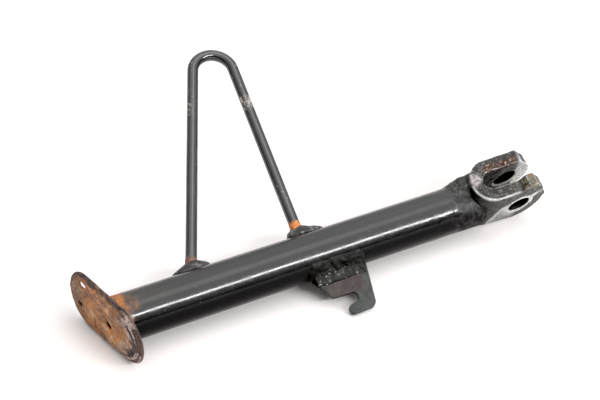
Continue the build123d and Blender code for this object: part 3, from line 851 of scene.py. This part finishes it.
# ---------------------------------------------------------------- foot
def build_foot(material):
    """The pan: rolled and dented, with grooves worn in its near end, and a punch mark with painted shade
    inside it.
    """
    skin = remeshed("foot_plate")
    skin.soften(4)
    local = skin.co - FOOT_CENTRE
    a = local @ SOLE_LENGTH
    b = local[:, 2]
    depth = -(local @ SOLE_NORMAL)
    half = FOOT_WIDTH / 2
    straight = FOOT_LENGTH / 2 - half
    beyond = np.clip(abs(a) - straight, 0.0, None)
    from_axis = np.hypot(beyond, b)
    inset = half - from_axis
    outer = ease(depth, FOOT_SHEET * 0.55, FOOT_SHEET * 0.3)
    near_end = ease(a, -straight + 12.0, -straight - 8.0)
    roll_width = 5.0 + 7.0 * near_end
    roll = ease(inset, roll_width, 0.0)
    drop = roll ** 1.5 * (0.9 + 0.9 * near_end)
    skin.co = skin.co - SOLE_NORMAL * (drop * ease(depth, 5.0, 0.0))[:, None]
    angle = np.arctan2(b, a)
    grooves = noise(np.stack([angle * 9.0, inset, b * 0.0], axis=1), 2.4, 31, 2)
    worn = near_end * ease(inset, 17.0, 11.0) * ease(inset, -0.5, 2.0)
    dents = noise(skin.co, 9.0, 12, 3) * 0.42
    pits = -0.5 * ease(noise(skin.co, 2.8, 15, 2), 0.35, 1.0)
    skin.push((dents + pits - 0.15 + grooves * worn * 0.30) * (0.35 + 0.65 * outer))
    skin.soften(1)
    blot = noise(skin.co, 6.0, 41, 3)
    flank = ease(inset, 3.6 + 2.0 * blot, 1.0 + blot)
    flank = np.maximum(flank, near_end * ease(inset, 13.5 + 3.0 * blot, 8.0))
    flank = np.maximum(flank, ease(depth, 1.8, 3.4))
    skin.store("flank", np.clip(flank, 0.0, 1.0))
    skin.store("scrape", np.clip(worn * ease(grooves, 0.0, 0.5), 0.0, 1.0))
    mark = np.hypot((a - PUNCH_MARK[0]) / PUNCH_MARK_HALF[0], (b - PUNCH_MARK[1]) / PUNCH_MARK_HALF[1])
    # painted shade inside the punch mark, below the sole's face
    skin.store("recess_shade", 0.85 * ease(mark, 1.05, 0.7) * ease(depth, 0.1, 0.5))
    return finish_piece(skin, "sole_plate", ["foot_plate"], material)


def build_foot_bead(material):
    """The rusty bead round the tube where it meets the pan."""
    skin = remeshed("foot_weld")
    skin.soften(6)
    skin.push(noise(skin.co, 4.5, 45, 3) * 0.45)
    skin.store("flank", np.ones(len(skin.co)))
    skin.store("scrape", np.zeros(len(skin.co)))
    skin.store("recess_shade", np.zeros(len(skin.co)))
    return finish_piece(skin, "foot_bead", ["foot_weld"], material)


# ---------------------------------------------------------------- hook plate
def build_hook():
    """The flame-cut plate with its hook."""
    skin = remeshed("spring_hook")
    skin.soften(3)
    ridge = skin.crest(2)
    skin.push(noise(skin.co, 8.0, 51, 3) * 0.10 - 0.03)
    local = skin.co - LEG_ORIGIN
    out = local @ HOOK_OUT
    x = local[:, 0]
    blot = noise(skin.co, 4.0, 55, 3)
    arm = ease(out, 36.0 + blot, 39.0 + blot)
    skin.store("arm", np.maximum(arm, ease(x + 0.25 * out, -131.0 + blot, -129.4 + blot)))
    skin.store("olive", ease(x - 0.15 * out, -164.0 + 2 * blot, -171.0 + 2 * blot))
    skin.store("cut", 0.6 * ease(ridge, 0.02, 0.06))
    return finish_piece(skin, "hook_cut_plate", ["spring_hook"], hook_metal())


build_tube()
build_loop()
build_clevis()
heap = weld_metal("weld_heap", deep=(0.009, 0.009, 0.009), pale=(0.105, 0.103, 0.095),
                  tint=(0.028, 0.029, 0.027), scuff=(0.110, 0.108, 0.102), gloss=0.60)
bead = weld_metal("weld_bead", deep=(0.005, 0.005, 0.005), pale=(0.058, 0.052, 0.043),
                  tint=(0.012, 0.0135, 0.010), scuff=(0.020, 0.020, 0.018), gloss=0.22)
pad = weld_metal("pad_weld", deep=(0.009, 0.010, 0.013), pale=(0.27, 0.255, 0.235),
                 tint=(0.042, 0.044, 0.046), scuff=(0.060, 0.058, 0.052), gloss=0.55)
crust = foot_metal()
build_fork_weld(heap)
build_bead("hook_weld_upper", "hook_bead_upper", 1, UPPER_BEAD_START, bead, 71)
build_bead("hook_weld_lower", "hook_bead_lower", -1, LOWER_BEAD_START, bead, 81)
build_pad("step_weld_rear", "step_pad_rear", pad, 91, 0.10)
build_pad("step_weld_front", "step_pad_front", pad, 95, 0.0)
build_foot(crust)
build_foot_bead(crust)
build_hook()

# ---------------------------------------------------------------- table, light and camera, in metres
LEG_MIDDLE = Vector((-0.15, 0.0, 0.0))
TABLE_SIZE = 12.0
TABLE_GAP = 0.0001        # keeps the table just clear of the foot
STRIP_WAY = Vector((0.357, -0.758, 0.546)).normalized()      # from the leg to the lamp
STRIP_FALL = 0.30         # how much the lamp drops along its length
STRIP_LENGTH, STRIP_WIDTH = 0.95, 0.12
STRIP_DISTANCE = 1.4
STRIP_RADIANCE = 38.0
BLACK_LEVEL, WHITE_LEVEL = 0.021, 0.95       # of the picture's curve
CAMERA_PLACE = Vector((-0.5577, -0.7715, 0.6946))
CAMERA_AZIMUTH = radians(-116.54837)      # the way from the leg to the camera
CAMERA_ELEVATION = radians(36.88456)
CAMERA_ROLL = radians(-0.79773)
CAMERA_LENS, CAMERA_SENSOR = 94.9, 36.0      # millimetres
CAMERA_REACH = 50.0

bpy.ops.mesh.primitive_plane_add(size=TABLE_SIZE, location=(LEG_MIDDLE.x, 0.0, cad_box[0][2] - TABLE_GAP))
table = bpy.context.object
table.name = "table"
paper = Finish("paper")
grain = paper.noise(6, 3, 0.5)
white = paper.mix(paper.ease(grain, 0.3, 0.7), (0.945, 0.91, 0.90), (0.955, 0.92, 0.91))
table.data.materials.append(
    paper.done(white, paper.ease(grain, 0.3, 0.7, (0.78, 0.82)), grain, 0.02, specular=0.2))


def put_in_scene(name, data, where, right, upward, behind):
    """A lamp or camera at a place, looking along minus behind."""
    obj = bpy.data.objects.new(name, data)
    obj.matrix_world = Matrix.Translation(where) @ Matrix((right, upward, behind)).transposed().to_4x4()
    scene.collection.objects.link(obj)
    return obj


def strip_light():
    """A long narrow soft box, held up in front of the leg and dropping towards the pivot end."""
    along = Vector((1.0, 0.0, -STRIP_FALL))
    along = (along - STRIP_WAY * along.dot(STRIP_WAY)).normalized()
    data = bpy.data.lights.new("strip", "AREA")
    data.shape = "RECTANGLE"
    data.size = STRIP_LENGTH
    data.size_y = STRIP_WIDTH
    data.energy = STRIP_RADIANCE * pi * STRIP_LENGTH * STRIP_WIDTH
    where = LEG_MIDDLE + STRIP_WAY * STRIP_DISTANCE
    return put_in_scene("strip", data, where, along, STRIP_WAY.cross(along), STRIP_WAY)


def studio_dome():
    """A soft white room: bright overhead and to the right, dim low behind the camera and to the left."""
    world = bpy.data.worlds.new("studio")
    world.use_nodes = True
    tree = world.node_tree
    background = tree.nodes["Background"]
    background.inputs["Color"].default_value = (1.0, 1.0, 1.0, 1.0)
    direction = tree.nodes.new("ShaderNodeTexCoord").outputs["Generated"]

    def lobe(way, low, high, floor, peak):
        """Strength of one broad patch of sky: floor away from its middle, peak towards it."""
        dot = tree.nodes.new("ShaderNodeVectorMath")
        dot.operation = "DOT_PRODUCT"
        dot.inputs[1].default_value = Vector(way).normalized()
        tree.links.new(direction, dot.inputs[0])
        spread = tree.nodes.new("ShaderNodeMapRange")
        spread.interpolation_type = "SMOOTHSTEP"
        spread.inputs["From Min"].default_value = low
        spread.inputs["From Max"].default_value = high
        spread.inputs["To Min"].default_value = floor
        spread.inputs["To Max"].default_value = peak
        tree.links.new(dot.outputs["Value"], spread.inputs["Value"])
        return spread.outputs[0]

    def join(operation, a, b):
        node = tree.nodes.new("ShaderNodeMath")
        node.operation = operation
        tree.links.new(a, node.inputs[0])
        tree.links.new(b, node.inputs[1])
        return node.outputs[0]

    ceiling = lobe((0.33, -0.12, 0.93), 0.30, 0.86, 0.74, 1.40)
    window = lobe((0.30, -0.03, 0.945), 0.962, 0.996, 0.0, 1.2)
    front = lobe((0.0, cos(radians(54)), sin(radians(54))), -0.10, 0.08, 0.10, 1.0)
    left = lobe((1.0, 0.0, 0.25), -0.70, 0.20, 0.68, 1.0)
    light = join("MULTIPLY", join("MULTIPLY", join("ADD", ceiling, window), front), left)
    tree.links.new(light, background.inputs["Strength"])
    return world


def build_camera():
    """A long lens looking down on the leg from the front left."""
    behind = Vector((cos(CAMERA_AZIMUTH) * cos(CAMERA_ELEVATION),
                     sin(CAMERA_AZIMUTH) * cos(CAMERA_ELEVATION), sin(CAMERA_ELEVATION)))
    level = Vector((-sin(CAMERA_AZIMUTH), cos(CAMERA_AZIMUTH), 0.0))
    right = level * cos(CAMERA_ROLL) + behind.cross(level) * sin(CAMERA_ROLL)
    data = bpy.data.cameras.new("camera")
    data.lens = CAMERA_LENS
    data.sensor_width = CAMERA_SENSOR
    data.clip_end = CAMERA_REACH
    return put_in_scene("camera", data, CAMERA_PLACE, right, behind.cross(right), behind)


strip_light()
scene.world = studio_dome()
scene.camera = build_camera()

scene.view_settings.view_transform = "Standard"
scene.view_settings.look = "None"
scene.view_settings.use_curve_mapping = True
scene.view_settings.curve_mapping.black_level = (BLACK_LEVEL,) * 3
scene.view_settings.curve_mapping.white_level = (WHITE_LEVEL,) * 3
